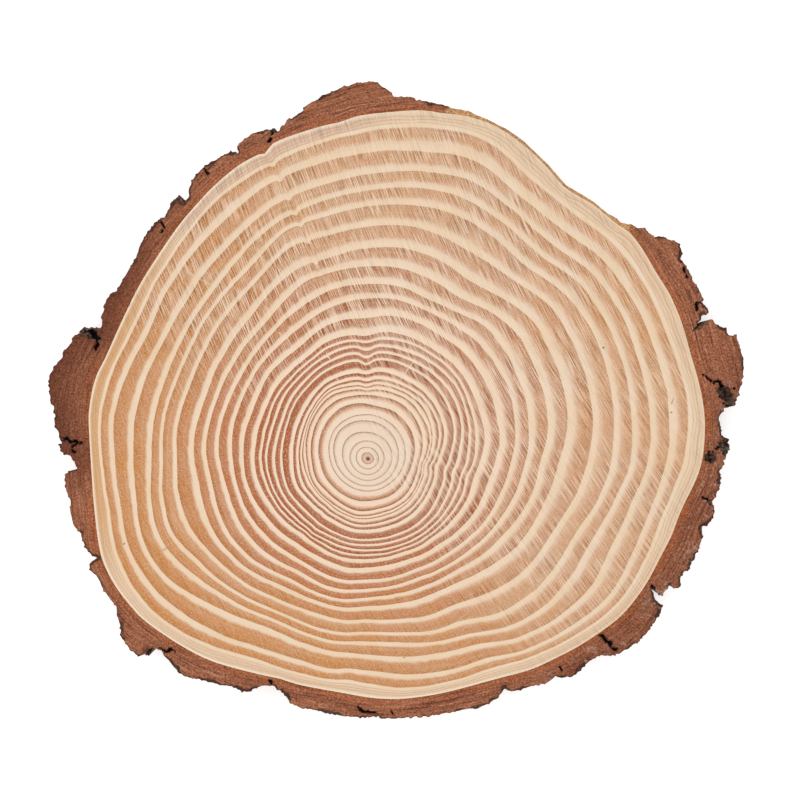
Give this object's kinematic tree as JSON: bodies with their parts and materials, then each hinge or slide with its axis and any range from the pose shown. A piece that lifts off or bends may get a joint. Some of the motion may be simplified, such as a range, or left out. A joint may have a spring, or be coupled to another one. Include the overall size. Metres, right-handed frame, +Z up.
{
  "type": "wood slice",
  "caption": "Flat round slice cut across a softwood log, with sawn faces showing growth rings and furrowed bark left on all round the edge.",
  "frame": {"origin": "middle of the bounding box at the base, on the flat sawn face the slice lies on", "axes": "+Z up along the log's axis, +X along the slice's longest side, +Y across it"},
  "size_m": [0.287, 0.263, 0.02],
  "materials": {
    "wood": "sawn and sanded bare softwood, with rough reddish-brown bark round the edge"
  },
  "bodies": {
    "root": {"wood_slice": "wood"}
  },
  "joints": []
}
